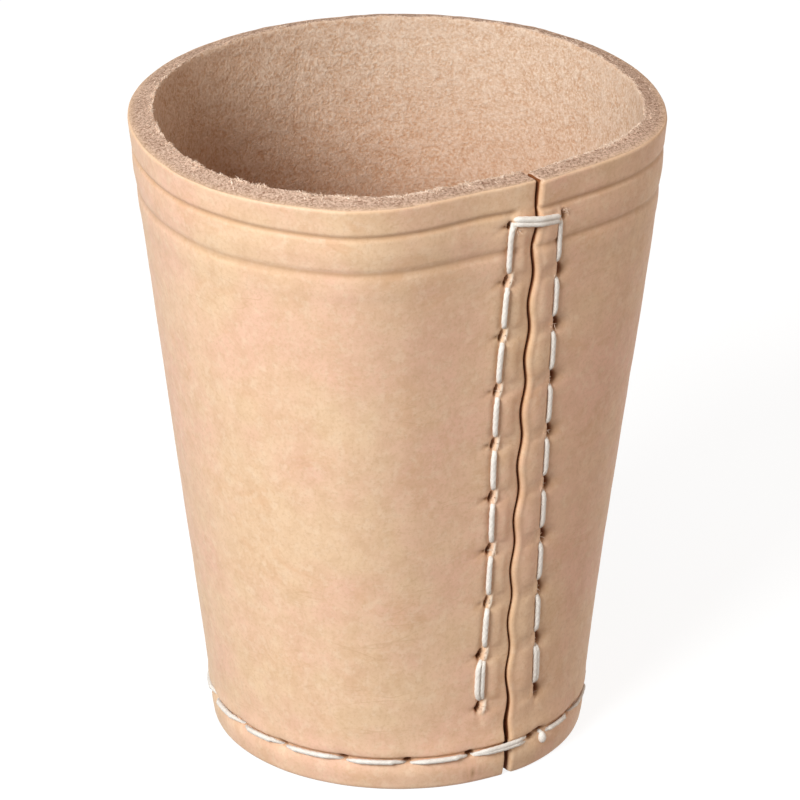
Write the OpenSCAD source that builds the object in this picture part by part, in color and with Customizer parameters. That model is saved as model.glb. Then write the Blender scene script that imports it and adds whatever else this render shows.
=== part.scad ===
// Leather dice cup: one strip of thick leather wrapped into a cone and sewn
// edge to edge, with a wet-formed leather base sewn into its foot.
// Millimetres. The origin is the centre of the standing edge, +Z is up and
// the seam faces -Y. Angles are measured from the seam, positive towards +X.

/* [Cup] */
// Height from the table to the inner edge of the rim
cup_h = 101; // [90:1:115]
// Outside diameter of the mouth where the leather is round
mouth_d = 80.6; // [74:0.2:88]
// Outside diameter of the foot
foot_d = 57.2; // [54:0.2:62]

/* [Leather] */
// Thickness of the wall leather
wall_t = 3.8; // [3.2:0.1:4.2]
// Thickness of the base leather
base_t = 3; // [2.4:0.1:3.4]
// Height of the base's turned-down flange, which is where the floor is
base_h = 10; // [9:0.5:10.5]
// How much lower the rim's outer edge is than its inner edge, where the mouth is round
rim_slope = 0.95; // [0.4:0.05:1.2]
// Depth of the two creased lines under the rim
crease_depth = 0.3; // [0.1:0.05:0.5]
// Width of a creased line
crease_w = 1.2; // [0.8:0.1:1.6]
// Distance of the upper creased line below the rim
upper_crease = 4.5; // [3.5:0.1:6]
// Distance of the lower creased line below the rim
lower_crease = 10.7; // [9:0.1:13]

/* [Seam] */
// Gap between the two cut edges of the wall
seam_gap = 0.35; // [0.2:0.05:0.6]
// How far the stitches draw the left end of the wall in at the mouth
draw_left = 6.7; // [0:0.1:8]
// How far the stitches draw the right end of the wall in at the mouth
draw_right = 6.1; // [0:0.1:8]
// How far the mouth bulges where the drawn-in left end meets the round
mouth_bulge = 1.7; // [0:0.1:3]
// How far the mouth is out of round, in three lobes
out_of_round = 0.4; // [0:0.1:1]
// How far the mouth is oval
oval = 0.2; // [0:0.1:1]
// How far the wall bellies out on the right
belly = 0.6; // [0:0.1:1]
// How far the foot flares out on the right
flare = 0.5; // [0:0.1:1]

/* [Stitching] */
// Diameter of the waxed thread
thread_d = 0.8; // [0.6:0.05:0.9]
// Stitches in each row beside the seam
seam_stitches = 9; // [7:1:9]
// Height of the top pair of awl slits
top_slit_z = 93.6; // [84:0.1:94]
// Distance between the slits of a row
stitch_pitch = 9; // [8.4:0.1:9]
// Distance from the seam to the left row, halfway along its sway
left_row_x = 4.4; // [3.8:0.1:5]
// How far the left row sways to either side
left_sway = 0.26; // [0:0.02:0.4]
// Distance from the seam to the top slit of the right row
right_row_top = 4.4; // [3.8:0.1:5]
// Distance from the seam to the bottom slit of the right row
right_row_foot = 5.4; // [4.6:0.1:6]
// Height of the stitch row round the foot
foot_row_z = 5.1; // [4.8:0.1:5.6]
// Stitches round the foot
foot_stitches = 18; // [16:2:18]

/* [Hidden] */

grain_colour = [0.86, 0.70, 0.57];
flesh_colour = [0.62, 0.43, 0.30];
thread_colour = [0.93, 0.89, 0.80];

mouth_r = mouth_d / 2;
foot_r = foot_d / 2;
rim_z = cup_h - rim_slope;
lean = atan((mouth_r - foot_r) / rim_z);
wall_across = wall_t / cos(lean);

// The wall stays round below this height, where the base holds it
draw_from_z = 5;
// The draw grows quickly above the base and slowly towards the mouth
draw_power = 0.55;
// Height over which the inner face goes from round to drawn in
inner_blend_h = 14;
// The left end is drawn in evenly up to the first angle, and is round again
// after the second angle beyond that; the same for the right end
left_flat_a = 11;
left_blend_a = 39;
right_flat_a = 3.5;
right_blend_a = 46;
bulge_at = -76;
bulge_half_a = 26.5;
lobe_at = -3;
oval_at = -12;
// The belly's angle, height and reach, and the flare's
belly_at = 58;
belly_half_a = 40;
belly_z = 74;
belly_half_h = 24;
flare_at = 30;
flare_half_a = 28;
flare_h = 11;
// Share of the rim's slope that is lost where the wall is drawn in most
upright = 0.75;
// Height over which the left row sways once
sway_h = 52;

// Soft groove that the foot stitches press into the wall
foot_groove = 0.3;
foot_groove_half_h = 1.5;
edge_round = 0.45;

thread_r = thread_d / 2;
// Threads lie this far off the leather
thread_clear = 0.05;
// Distance between two threads that lie side by side
beside = thread_d + 0.1;
thread_sides = 8;
corner_r = 0.5;
bead_swell = 1.9;

// Two threads pass through each slit of the seam, this far from its middle
slit_reach = 0.9;
slit_w = thread_d + 0.3;
slit_h = 2 * slit_reach + thread_d + 0.4;
foot_slit_h = beside + thread_d + 0.6;
// The base is this much smaller than the wall's inner face
base_clear = 0.04;

// --- Shape of the wall ---------------------------------------------------

function ease(x) = (1 - cos(180 * min(1, max(0, x)))) / 2;

// Angle from the seam in the range -180 to 180
function wrap(a) = a > 180 ? a - 360 : a;

function cone_r(z) = foot_r + (mouth_r - foot_r) * z / rim_z;

function draw_growth(z) =
    z <= draw_from_z ? 0 : pow((z - draw_from_z) / (rim_z - draw_from_z), draw_power);

function drawn_in(a) = a < 0
    ? draw_left * (1 - ease((-a - left_flat_a) / left_blend_a))
    : draw_right * (1 - ease((a - right_flat_a) / right_blend_a));

function bell(x, half_width) = exp(-pow(x / half_width, 2));

function mouth_form(a) =
    mouth_bulge * bell(a - bulge_at, bulge_half_a)
    + out_of_round * cos(3 * (a - lobe_at))
    + oval * cos(2 * (a - oval_at));

// Departure from the plain cone that the stitching and wear give the wall
function formed(a, z) =
    mouth_form(a) * z / rim_z
    - drawn_in(a) * draw_growth(z)
    + belly * bell(a - belly_at, belly_half_a) * bell(z - belly_z, belly_half_h);

// Outer and inner radius of the wall at an angle and a height
function outer_r(a, z) =
    cone_r(z) + formed(a, z) + flare * bell(a - flare_at, flare_half_a) * bell(z, flare_h);

function inner_r(a, z) =
    let (held = ease((z - base_h - 0.5) / inner_blend_h))
    cone_r(z) - wall_across + held * formed(a, z);

// Height of the rim's inner edge
function inner_rim_z(a) =
    cup_h - rim_slope * upright * drawn_in(a) / max(draw_left, draw_right, 0.1);

// --- Wall ----------------------------------------------------------------

// One creased line as three points of the profile: [inset, height]
function crease(below_rim) =
    let (z = rim_z - below_rim * cos(lean))
    [[0, z - crease_w / 2], [crease_depth, z], [0, z + crease_w / 2]];

plain_step = 10;
lower_crease_z = rim_z - lower_crease;
outer_profile = concat(
    [[edge_round, 0], [0, edge_round]],
    [[0, foot_row_z - foot_groove_half_h],
     [foot_groove, foot_row_z - foot_groove_half_h / 2],
     [foot_groove, foot_row_z + foot_groove_half_h / 2],
     [0, foot_row_z + foot_groove_half_h]],
    [[0, 9], [0, 13]],
    [for (z = [20:plain_step:lower_crease_z - plain_step / 2]) [0, z]],
    crease(lower_crease),
    crease(upper_crease),
    [[0, rim_z - edge_round], [edge_round, rim_z]]
);
inner_heights = concat(
    [for (z = [floor(cup_h / plain_step) * plain_step - 5:-plain_step:25]) z],
    [20, 15, base_h + 0.5, 0]
);

// Angles of the wall's sections, closer together where it is drawn in
fine_a = 2.5;
coarse_a = 5;
fine_reach = 50;
section_angles = concat(
    [for (a = [0:fine_a:fine_reach]) a],
    [for (a = [fine_reach + coarse_a:coarse_a:360 - fine_reach - coarse_a]) a],
    [for (a = [360 - fine_reach:fine_a:360]) a]
);

// A point of the wall; the end sections lie in the planes of the cut edges
function wall_point(a, r, z) =
    let (edge_a = asin(seam_gap / 2 / r), b = min(360 - edge_a, max(edge_a, a)))
    [r * sin(b), -r * cos(b), z];

function side_of(a) = a >= 180 ? min(-0.001, a - 360) : a;

function wall_section(a) = concat(
    [for (p = outer_profile) wall_point(a, outer_r(side_of(a), p[1]) - p[0], p[1])],
    [let (z = inner_rim_z(side_of(a))) wall_point(a, inner_r(side_of(a), z), z)],
    [for (z = inner_heights) wall_point(a, inner_r(side_of(a), z), z)]
);

// Skins a row of equal closed sections and caps both ends
module skin(sections) {
    n = len(sections[0]);
    last = len(sections) - 1;
    points = [for (s = sections) each s];
    sides = [for (i = [0:last - 1], j = [0:n - 1])
        let (a = i * n + j, b = i * n + (j + 1) % n)
        each [[a, a + n, b], [b, a + n, b + n]]];
    start_cap = [[for (j = [0:n - 1]) j]];
    end_cap = [[for (j = [n - 1:-1:0]) last * n + j]];
    polyhedron(points, concat(sides, start_cap, end_cap), convexity = 8);
}

// An awl slit, pushed through the leather along +Y from the origin
module slit(w, h, depth) {
    flat = h / 2 - w / 3;
    rotate([-90, 0, 0])
        linear_extrude(depth)
            polygon([[0, h / 2], [w / 2, flat], [w / 2, -flat],
                     [0, -h / 2], [-w / 2, -flat], [-w / 2, flat]]);
}

function slit_z(k) = top_slit_z - k * stitch_pitch;
// Distance from the seam's plane to the row on one side
function row_x(z, side) =
    let (up = min(1, max(0, (z - slit_z(seam_stitches)) / (top_slit_z - slit_z(seam_stitches)))))
    side < 0
        ? left_row_x + left_sway * sin(360 * (z - cup_h / 2) / sway_h)
        : right_row_foot + (right_row_top - right_row_foot) * pow(up, 1.5);

module seam_slits() {
    reach = wall_across + 8;
    for (k = [0:seam_stitches], side = [-1, 1]) {
        // The last stitch of each row is sewn twice, so its slits are wide
        twice = k >= seam_stitches - 1;
        w = twice ? slit_w + beside : slit_w;
        x = row_x(slit_z(k), side) + (twice ? beside / 2 : 0);
        translate([side * x, -outer_r(side * 8, slit_z(k)) - 3, slit_z(k)])
            slit(w, slit_h, reach);
    }
}

// The foot row is punched by hand: one stitch spans the seam, the next one
// is long, and the others share what is left
first_slit_a = 9;
last_slit_a = 347.2;
long_stitch_a = 22.6;
even_stitch_a = (last_slit_a - first_slit_a - long_stitch_a) / (foot_stitches - 2);
function foot_slit_a(k) =
    k == 0 ? first_slit_a : first_slit_a + long_stitch_a + (k - 1) * even_stitch_a;

module foot_slits() {
    reach = wall_across + base_t + 6;
    for (k = [0:foot_stitches - 1])
        rotate(foot_slit_a(k))
            translate([0, -foot_r - 3, foot_row_z])
                slit(slit_w, foot_slit_h, reach);
}

module wall() {
    color(grain_colour)
        difference() {
            skin([for (a = section_angles) wall_section(a)]);
            seam_slits();
            foot_slits();
        }
}

// --- Base ----------------------------------------------------------------

base_bend_r = 2.4;
inner_bend_r = 1.6;
bend_steps = 4;

function base_r(z) = cone_r(z) - wall_across - base_clear;

// Points of a bend whose outermost point is x; it turns from one angle to
// another about a centre at height z
function bend(x, z, r, from, to) =
    [for (i = [0:bend_steps])
        let (a = from + (to - from) * i / bend_steps)
        [x - r + r * cos(a), z + r * sin(a)]];

outer_bend_z = base_h - base_bend_r;
inner_bend_z = base_h - base_t - inner_bend_r;
base_profile = concat(
    [[0, base_h], [0, base_h - base_t]],
    bend(base_r(inner_bend_z) - base_t, inner_bend_z, inner_bend_r, 90, 0),
    [[base_r(0) - base_t, 0], [base_r(0), 0]],
    bend(base_r(outer_bend_z), outer_bend_z, base_bend_r, 0, 90)
);

module base() {
    color(flesh_colour)
        difference() {
            rotate_extrude($fn = 96)
                polygon(base_profile);
            foot_slits();
        }
}

// --- Threads -------------------------------------------------------------

function unit(v) = v / norm(v);

// Rounds each inner corner of a route with three points
function rounded(route) = concat(
    [route[0]],
    [for (i = [1:len(route) - 2])
        let (
            p = route[i],
            before = route[i - 1] - p,
            after = route[i + 1] - p,
            c = min(corner_r, norm(before) / 3, norm(after) / 3),
            a = p + c * unit(before),
            b = p + c * unit(after)
        )
        each [a, (a + 2 * p + b) / 4, b]],
    [route[len(route) - 1]]
);

function heading(path, i) =
    i == 0 ? unit(path[1] - path[0])
    : i == len(path) - 1 ? unit(path[i] - path[i - 1])
    : unit(unit(path[i] - path[i - 1]) + unit(path[i + 1] - path[i]));

// A vector square to each point's heading, carried along without twisting
function carried(path, i, v) =
    i == len(path) ? []
    : let (t = heading(path, i), n = unit(v - (v * t) * t))
      concat([n], carried(path, i + 1, n));

// A thread along a route of corners, with a melted bead at its far end
module thread(route) {
    path = rounded(route);
    last = len(path) - 1;
    normals = carried(path, 0, [0.31, 0.17, 0.93]);
    color(thread_colour)
        skin([for (i = [0:last])
            let (
                t = heading(path, i),
                u = normals[i],
                v = cross(t, u),
                r = i == last ? thread_r * bead_swell : thread_r
            )
            [for (j = [0:thread_sides - 1])
                let (a = 360 * j / thread_sides)
                path[i] + r * (cos(a) * u + sin(a) * v)]]);
}

// Distance from the axis plane to the wall's face at a given x, found by
// going round three times
function face_y(x, z, inside, a, turns) =
    let (r = inside ? inner_r(a, z) : outer_r(a, z))
    turns == 0 ? sqrt(r * r - x * x) : face_y(x, z, inside, asin(x / r), turns - 1);

off = thread_r + thread_clear;
function outside(x, z) = [x, -face_y(x, z, false, sign(x), 3) - off, z];
function inside(x, z) = [x, -face_y(x, z, true, sign(x), 3) + off, z];

// The bar crosses on top of the right edge, and inside the crossing passes
// over the left edge; the second thread crosses over the first
bridge_x = 0.3;
function bar_middle(z) = outside(bridge_x, z) - [0, thread_clear, 0];
function crossing_middle(z, over) = inside(-bridge_x, z) + [0, over ? beside : 0, 0];

// One thread of the seam. It starts inside at the top slit on its own side,
// makes its half of the double bar, then works down from side to side and
// sews the last stitch twice
function seam_route(side, over) =
    let (
        near_x = row_x(slit_z(0), side),
        far_x = row_x(slit_z(0), -side),
        bar_z = slit_z(0) + (over ? 0 : beside),
        down_z = slit_z(0) - slit_reach,
        n = seam_stitches,
        tail = (n % 2 == 1 ? 1 : -1) * side,
        xe = row_x(slit_z(n), tail),
        xd = row_x(slit_z(n - 1), tail)
    )
    concat(
        [inside(side * near_x, bar_z), outside(side * near_x, bar_z), bar_middle(bar_z),
         outside(-side * far_x, bar_z), inside(-side * far_x, bar_z),
         crossing_middle((bar_z + down_z) / 2, over), inside(side * near_x, down_z)],
        [for (k = [0:n - 1])
            let (
                s = k % 2 == 0 ? side : -side,
                xa = row_x(slit_z(k), s),
                xb = row_x(slit_z(k + 1), s),
                za = slit_z(k) - slit_reach,
                zb = slit_z(k + 1) + slit_reach,
                zc = slit_z(k + 1) - slit_reach,
                stitch = [outside(s * xa, za), outside(s * xb, zb), inside(s * xb, zb)],
                cross_over = k == n - 1 ? []
                    : [crossing_middle(slit_z(k + 1), over),
                       inside(-s * row_x(slit_z(k + 1), -s), zc)]
            )
            each concat(stitch, cross_over)],
        [inside(tail * (xd + beside), slit_z(n - 1) - slit_reach),
         outside(tail * (xd + beside), slit_z(n - 1) - slit_reach),
         outside(tail * (xe + beside), slit_z(n) + slit_reach),
         inside(tail * (xe + beside), slit_z(n) + slit_reach) + [0, thread_d, 0]]
    );

module seam_thread_a() {
    thread(seam_route(-1, false));
}

module seam_thread_b() {
    thread(seam_route(1, true));
}

// Points of the foot stitching, over the wall and behind the base's flange,
// which bends away from them
arc_step = 5;
behind_clear = 0.15;
function foot_over(a, z) =
    let (r = outer_r(wrap(a % 360), foot_row_z) - foot_groove + off)
    [r * sin(a), -r * cos(a), z];
function foot_behind(a, z) =
    let (r = base_r(foot_row_z) - base_t - off - behind_clear)
    [r * sin(a), -r * cos(a), z];
function foot_arc(a, b, za, zb) =
    let (steps = ceil(abs(b - a) / arc_step))
    [for (i = [0:steps])
        foot_over(a + (b - a) * i / steps, za + (zb - za) * i / steps)];

high = foot_row_z + beside / 2;
low = foot_row_z - beside / 2;

// Slit angle that carries on past a full turn
function turn_a(k) = foot_slit_a(k % foot_stitches) + 360 * floor(k / foot_stitches);

// One stitch over the wall from slit k to the next, then behind the flange
// to the slit after that
function foot_pair(k) = concat(
    [foot_behind(turn_a(k), low)],
    foot_arc(turn_a(k), turn_a(k + 1), low, high),
    [foot_behind(turn_a(k + 1), high)]
);

// The first thread starts and ends with the stitch over the seam, and its
// melted end shows just beyond the first slit
seam_stitch = foot_stitches - 1;
bead_past_a = 3;
module base_thread_a() {
    start = foot_slit_a(seam_stitch) - 360;
    end = foot_slit_a(0);
    thread(concat(
        [foot_behind(start, high)],
        foot_arc(start, end, high, high),
        [foot_behind(end, high)],
        [for (k = [1:2:foot_stitches - 3]) each foot_pair(k)],
        [foot_behind(foot_slit_a(seam_stitch), low)],
        foot_arc(start, end, low, low),
        [foot_over(end + bead_past_a, low)]
    ));
}

module base_thread_b() {
    thread([for (k = [0:2:foot_stitches - 2]) each foot_pair(k)]);
}

wall();
base();
seam_thread_a();
seam_thread_b();
base_thread_a();
base_thread_b();
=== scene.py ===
import math
from itertools import product

import bpy
import numpy as np
from mathutils import Matrix, Vector


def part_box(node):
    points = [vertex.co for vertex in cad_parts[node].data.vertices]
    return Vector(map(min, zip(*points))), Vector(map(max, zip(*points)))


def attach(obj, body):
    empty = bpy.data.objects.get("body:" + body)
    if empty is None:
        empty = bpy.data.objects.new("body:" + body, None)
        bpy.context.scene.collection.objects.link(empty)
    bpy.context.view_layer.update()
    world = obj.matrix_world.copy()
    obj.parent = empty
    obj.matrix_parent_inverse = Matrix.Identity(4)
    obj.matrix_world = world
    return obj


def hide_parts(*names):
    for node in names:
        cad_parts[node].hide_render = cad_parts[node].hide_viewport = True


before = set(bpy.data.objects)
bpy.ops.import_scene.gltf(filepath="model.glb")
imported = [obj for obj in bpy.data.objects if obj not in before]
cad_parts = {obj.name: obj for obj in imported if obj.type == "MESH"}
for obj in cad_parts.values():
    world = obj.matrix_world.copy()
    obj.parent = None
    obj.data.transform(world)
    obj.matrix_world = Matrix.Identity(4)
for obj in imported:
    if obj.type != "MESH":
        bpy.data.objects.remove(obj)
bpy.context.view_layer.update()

# The script works in millimetres and turns them into metres when a mesh is made.
MM = 0.001

# --- Form of the cup, as in the CAD part ---

CUP_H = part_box("wall")[1].z / MM
RIM_SLOPE = 0.95
RIM_Z = CUP_H - RIM_SLOPE
MOUTH_R, FOOT_R, WALL_T = 40.3, 28.6, 3.8
LEAN = math.atan((MOUTH_R - FOOT_R) / RIM_Z)
WALL_ACROSS = WALL_T / math.cos(LEAN)
BASE_T, BASE_CLEAR = 3.0, 0.04
BASE_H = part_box("base")[1].z / MM

# The seam's gap, and how the stitches draw the wall's two ends in
SEAM_GAP = 0.35
DRAW_LEFT, DRAW_RIGHT = 6.7, 6.1
DRAW_FROM_Z, DRAW_POWER = 5.0, 0.55
LEFT_FLAT_A, LEFT_BLEND_A = 11.0, 39.0
RIGHT_FLAT_A, RIGHT_BLEND_A = 3.5, 46.0
# Where and how far the cup is out of round, bellies out and flares at the foot
MOUTH_BULGE, BULGE_AT, BULGE_HALF_A = 1.7, -76.0, 26.5
OUT_OF_ROUND, LOBE_AT = 0.38, -3.0
OVAL, OVAL_AT = 0.23, -12.0
BELLY, BELLY_AT, BELLY_HALF_A = 0.6, 58.0, 40.0
BELLY_Z, BELLY_HALF_H = 74.0, 24.0
FLARE, FLARE_AT, FLARE_HALF_A, FLARE_H = 0.5, 30.0, 28.0, 11.0
INNER_BLEND_H = 14.0

# Distances of the creased lines from the rim, along the wall
UPPER_CREASE, LOWER_CREASE = 4.5, 10.7

# The rows of slits beside the seam and round the foot, and the threads
SEAM_STITCHES = 9
TOP_SLIT_Z = 93.6
STITCH_PITCH = 9.0
BOTTOM_SLIT_Z = TOP_SLIT_Z - SEAM_STITCHES * STITCH_PITCH
LEFT_ROW_X, LEFT_SWAY, LEFT_SWAY_H = 4.38, 0.26, 52.0
RIGHT_ROW_TOP, RIGHT_ROW_FOOT = 4.37, 5.42
FOOT_ROW_Z, FOOT_STITCHES = 5.1, 18
FIRST_SLIT_A, LAST_SLIT_A, LONG_STITCH_A = 9.0, 347.2, 22.6
EVEN_STITCH_A = (LAST_SLIT_A - FIRST_SLIT_A - LONG_STITCH_A) / (FOOT_STITCHES - 2)
THREAD_R, FOOT_THREAD_R = 0.425, 0.43
BEAD_A, BEAD_Z, BEAD_R, BEAD_LENGTH = 13.1, 4.3, 0.64, 1.9


# --- Small tools ---

def ease(x):
    return (1 - np.cos(np.pi * np.clip(x, 0, 1))) / 2


def bump(x, half_width):
    return np.exp(-(x / half_width) ** 2)


def unit(v):
    return v / np.linalg.norm(v)


def at_angle(r, a):
    """x and y of a point at a radius and an angle from the seam, in degrees."""
    return r * np.sin(np.radians(a)), -r * np.cos(np.radians(a))


def lattice(ix, iy, iz, seed):
    """A fixed value from -1 to 1 for each point of a lattice."""
    h = (ix * 374761393 + iy * 668265263 + iz * 2147483647 + seed * 974634777) & 0xFFFFFFFF
    h = ((h ^ (h >> 13)) * 1274126177) & 0xFFFFFFFF
    h = ((h ^ (h >> 16)) * 2246822519) & 0xFFFFFFFF
    return (h ^ (h >> 15)) / 2147483647.5 - 1


def noise(x, y, z, size, seed):
    """Smooth noise from -1 to 1 whose lumps are about one size across."""
    px, py, pz = (np.asarray(c, float) / size for c in np.broadcast_arrays(x, y, z))
    ix, iy, iz = (np.floor(c).astype(np.int64) for c in (px, py, pz))
    fx, fy, fz = (c - np.floor(c) for c in (px, py, pz))
    fx, fy, fz = (f * f * (3 - 2 * f) for f in (fx, fy, fz))
    total = 0
    for dx, dy, dz in product((0, 1), repeat=3):
        weight = (fx if dx else 1 - fx) * (fy if dy else 1 - fy) * (fz if dz else 1 - fz)
        total = total + weight * lattice(ix + dx, iy + dy, iz + dz, seed)
    return total


def fractal(x, y, z, size, seed, octaves=3):
    total = 0
    for octave in range(octaves):
        total = total + noise(x, y, z, size / 2 ** octave, seed + octave) / 2 ** octave
    return total


def put_in_scene(name, data):
    thing = bpy.data.objects.new(name, data)
    bpy.context.scene.collection.objects.link(thing)
    return thing


def add_mesh(name, points, faces, materials, smooth=True):
    """Puts a mesh in the scene; its points are in millimetres."""
    mesh = bpy.data.meshes.new(name)
    mesh.from_pydata((np.array(points) * MM).tolist(), [], faces)
    for material in materials:
        mesh.materials.append(material)
    if smooth:
        mesh.polygons.foreach_set("use_smooth", [True] * len(faces))
    return put_in_scene(name, mesh)


def add_values(piece, name, values):
    """Gives each point of a mesh a number that its material reads."""
    layer = piece.data.attributes.new(name, "FLOAT", "POINT")
    layer.data.foreach_set("value", np.ascontiguousarray(values, np.float32))


# --- Smooth form of the wall ---
# Angles are in degrees from the seam: the right end is just above 0 and the
# left end just under 0, which is also written as just under 360.

def signed(a):
    return np.where(a > 180, a - 360, a)


def cone_r(z):
    return FOOT_R + (MOUTH_R - FOOT_R) * z / RIM_Z


def draw_growth(z):
    return np.clip((z - DRAW_FROM_Z) / (RIM_Z - DRAW_FROM_Z), 0, None) ** DRAW_POWER


def drawn_in(a):
    left = DRAW_LEFT * (1 - ease((-a - LEFT_FLAT_A) / LEFT_BLEND_A))
    right = DRAW_RIGHT * (1 - ease((a - RIGHT_FLAT_A) / RIGHT_BLEND_A))
    return np.where(a < 0, left, right)


def mouth_form(a):
    return (MOUTH_BULGE * bump(a - BULGE_AT, BULGE_HALF_A)
            + OUT_OF_ROUND * np.cos(np.radians(3 * (a - LOBE_AT)))
            + OVAL * np.cos(np.radians(2 * (a - OVAL_AT))))


def rim_slope(a):
    """How much higher the rim's inner edge is: less where the wall stands upright."""
    return RIM_SLOPE * (1 - 0.75 * drawn_in(a) / DRAW_LEFT)


def smooth_r(a, z, depth):
    """Radius of the wall at a depth from 0, the grain side, to 1, the flesh side."""
    held = ease((z - BASE_H - 0.5) / INNER_BLEND_H)
    follow = (1 - depth) + depth * held
    belly = BELLY * bump(a - BELLY_AT, BELLY_HALF_A) * bump(z - BELLY_Z, BELLY_HALF_H)
    flare = FLARE * bump(a - FLARE_AT, FLARE_HALF_A) * bump(z, FLARE_H)
    return (cone_r(z) - depth * WALL_ACROSS - follow * drawn_in(a) * draw_growth(z)
            + follow * mouth_form(a) * z / RIM_Z + follow * belly + (1 - depth) * flare)


# --- Places of the slits ---

def slit_z(k):
    return TOP_SLIT_Z - k * STITCH_PITCH


def row_x(z, side):
    """Distance of a stitch row from the seam's plane."""
    left = LEFT_ROW_X + LEFT_SWAY * np.sin(2 * np.pi * (z - 0.5 * CUP_H) / LEFT_SWAY_H)
    up = np.clip((z - BOTTOM_SLIT_Z) / (TOP_SLIT_Z - BOTTOM_SLIT_Z), 0, 1)
    right = RIGHT_ROW_FOOT + (RIGHT_ROW_TOP - RIGHT_ROW_FOOT) * up ** 1.5
    return np.where(side < 0, left, right)


def foot_slit_a(k):
    return FIRST_SLIT_A if k == 0 else FIRST_SLIT_A + LONG_STITCH_A + (k - 1) * EVEN_STITCH_A


# The second slit was pricked short of its place, and two near the left unevenly
SLIT_NUDGE = {1: -2.2, 13: 0.5, 14: -1.0}
FOOT_SLITS = [foot_slit_a(k) + SLIT_NUDGE.get(k, 0) for k in range(FOOT_STITCHES)]


# --- Relief of the grain side ---

CREASE_DEPTH, CREASE_HALF_W = 0.34, 0.42
UPPER_SWELL, LOWER_SWELL, SWELL_HALF_W = 0.16, 0.12, 1.9


def creases(x, y, a, z):
    """Height of the two lines pressed in round the mouth, with the leather
    swollen beside them, and the painted shade in the lines. They fade out just past
    the left row."""
    along = (RIM_Z - z) / math.cos(LEAN)
    wander = 0.12 * noise(x, y, 0, 9, 31)
    left = (a < 0) & (a > -90)
    upper_on = np.where(left, ease((-x - 2.6) / 1.2), 1)
    lower_on = np.where(left, ease((-x - 2.0) / 1.2), 1)
    upper = bump(along - UPPER_CREASE - wander, CREASE_HALF_W) * upper_on
    lower = bump(along - LOWER_CREASE + wander, CREASE_HALF_W) * lower_on
    swell = (UPPER_SWELL * bump(along - 0.5 * (UPPER_CREASE + LOWER_CREASE), SWELL_HALF_W)
             + LOWER_SWELL * bump(along - LOWER_CREASE - 2.6, SWELL_HALF_W))
    return -CREASE_DEPTH * (upper + lower) + swell, np.maximum(upper, lower)


def nearest_slit(z):
    k = np.clip(np.round((TOP_SLIT_Z - z) / STITCH_PITCH), 0, SEAM_STITCHES)
    return z - slit_z(k), k


# Depths and heights of the leather round the seam's stitches
BED_DEPTH, STRIP_SWELL, PINCH_DEPTH = 0.34, 0.26, 0.17
HOLE_DEPTH, FUNNEL_DEPTH, TAIL_DEPTH, WRINKLE_DEPTH = 1.3, 0.45, 0.26, 0.16
LEFT_LIP, RIGHT_LIP = 0.5, 0.32


def seam_relief(x, a, z):
    """Height that the seam's stitches give the leather, and the painted light on it:
    above 0 painted shade in the slits, their funnels and tails and the wrinkles, below 0
    a painted highlight on the stretched lip between two stitches."""
    side = np.where(a < 0, -1, 1)
    left = a < 0
    near = np.abs(a) < 30
    past = np.abs(x) - row_x(z, side)
    dz, k = nearest_slit(z)
    row = k.astype(np.int64)
    lively = 1 + 0.3 * lattice(row, side.astype(np.int64) + 5, 0 * row, 3)
    sewn = ease((z - BOTTOM_SLIT_Z + 4) / 4) * ease((TOP_SLIT_Z + 3 - z) / 3)
    pulled = ease((np.abs(dz) - 0.7) / 0.8)
    off_edge = ease((np.abs(x) - 0.5) / 1.4)
    # The thread's bed, and the strip beside the gap that it leaves puffed up
    bed = -BED_DEPTH * bump(past, 0.62) * sewn * pulled
    strip = STRIP_SWELL * bump(past + 2.2, 1.4) * sewn * (0.4 + 0.6 * pulled) * off_edge
    pinch = -PINCH_DEPTH * bump(past + 1.2, 3.0) * bump(dz, 1.9) * sewn * off_edge
    # The awl slit just outside the row; on the right it widens into a funnel
    doubled = 0.4 * left * (k >= SEAM_STITCHES - 1)
    shift = past - np.where(left, doubled - 0.08 - 0.16 * dz, 0.28)
    slope = np.where(shift > 0, np.where(left, 0.42, 0.55) * lively, np.where(left, 0.38, 0.32))
    funnel = bump(past - 1.0, 1.2 * lively) * bump(dz, 1.15) * ~left * (k > 0)
    half_h = np.where(left, 0.9, 1.0) * np.where(k == 0, 0.65, 1)
    opening = np.exp(-((shift / slope) ** 2 + (dz / half_h) ** 2) ** 1.6)
    tail = np.where(past > 0, np.exp(-past / (1.2 * lively)), 0) * bump(dz + 0.25 * past, 0.8)
    lip_at = np.where(left, 0.62 + 0.16 * dz, 0.42)
    ridge = bump(past + lip_at, 0.33) * bump(dz, 1.25) * sewn
    lip = np.where(left, LEFT_LIP, RIGHT_LIP) * ridge
    wrinkle = bump(dz + 0.45 * past - 0.3, 0.3) + bump(dz - 0.2 * past + 0.3, 0.26) * lively
    wrinkle = wrinkle * np.where(past > 0.7, np.exp(-(past - 0.7) / (1.1 * lively)), 0) * left
    height = (bed + strip + pinch + lip - HOLE_DEPTH * opening - FUNNEL_DEPTH * funnel
              - TAIL_DEPTH * tail * lively - WRINKLE_DEPTH * wrinkle * sewn)
    # Painted shade in the slits, their funnels and tails and the wrinkles; on the left a painted
    # highlight on the lip takes it below 0
    dark = np.clip(1.4 * opening + 0.4 * tail + 0.34 * wrinkle + 0.56 * funnel, 0, 1)
    dark = dark - 0.9 * ridge * left
    return np.where(near, height, 0), np.where(near, dark, 0)


# The same round the foot's stitches
FOLD_DEPTH, OVERHANG, FOOT_LIP = 0.44, 0.17, 0.14
FOOT_DIMPLE, FOOT_HOLE_DEPTH = 0.2, 1.2
# A rubbed brown stain on the foot's lip, just right of the last slit
STAIN_OFF, STAIN_Z, STAIN_SHADE = 0.5, 1.9, 0.6


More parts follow.
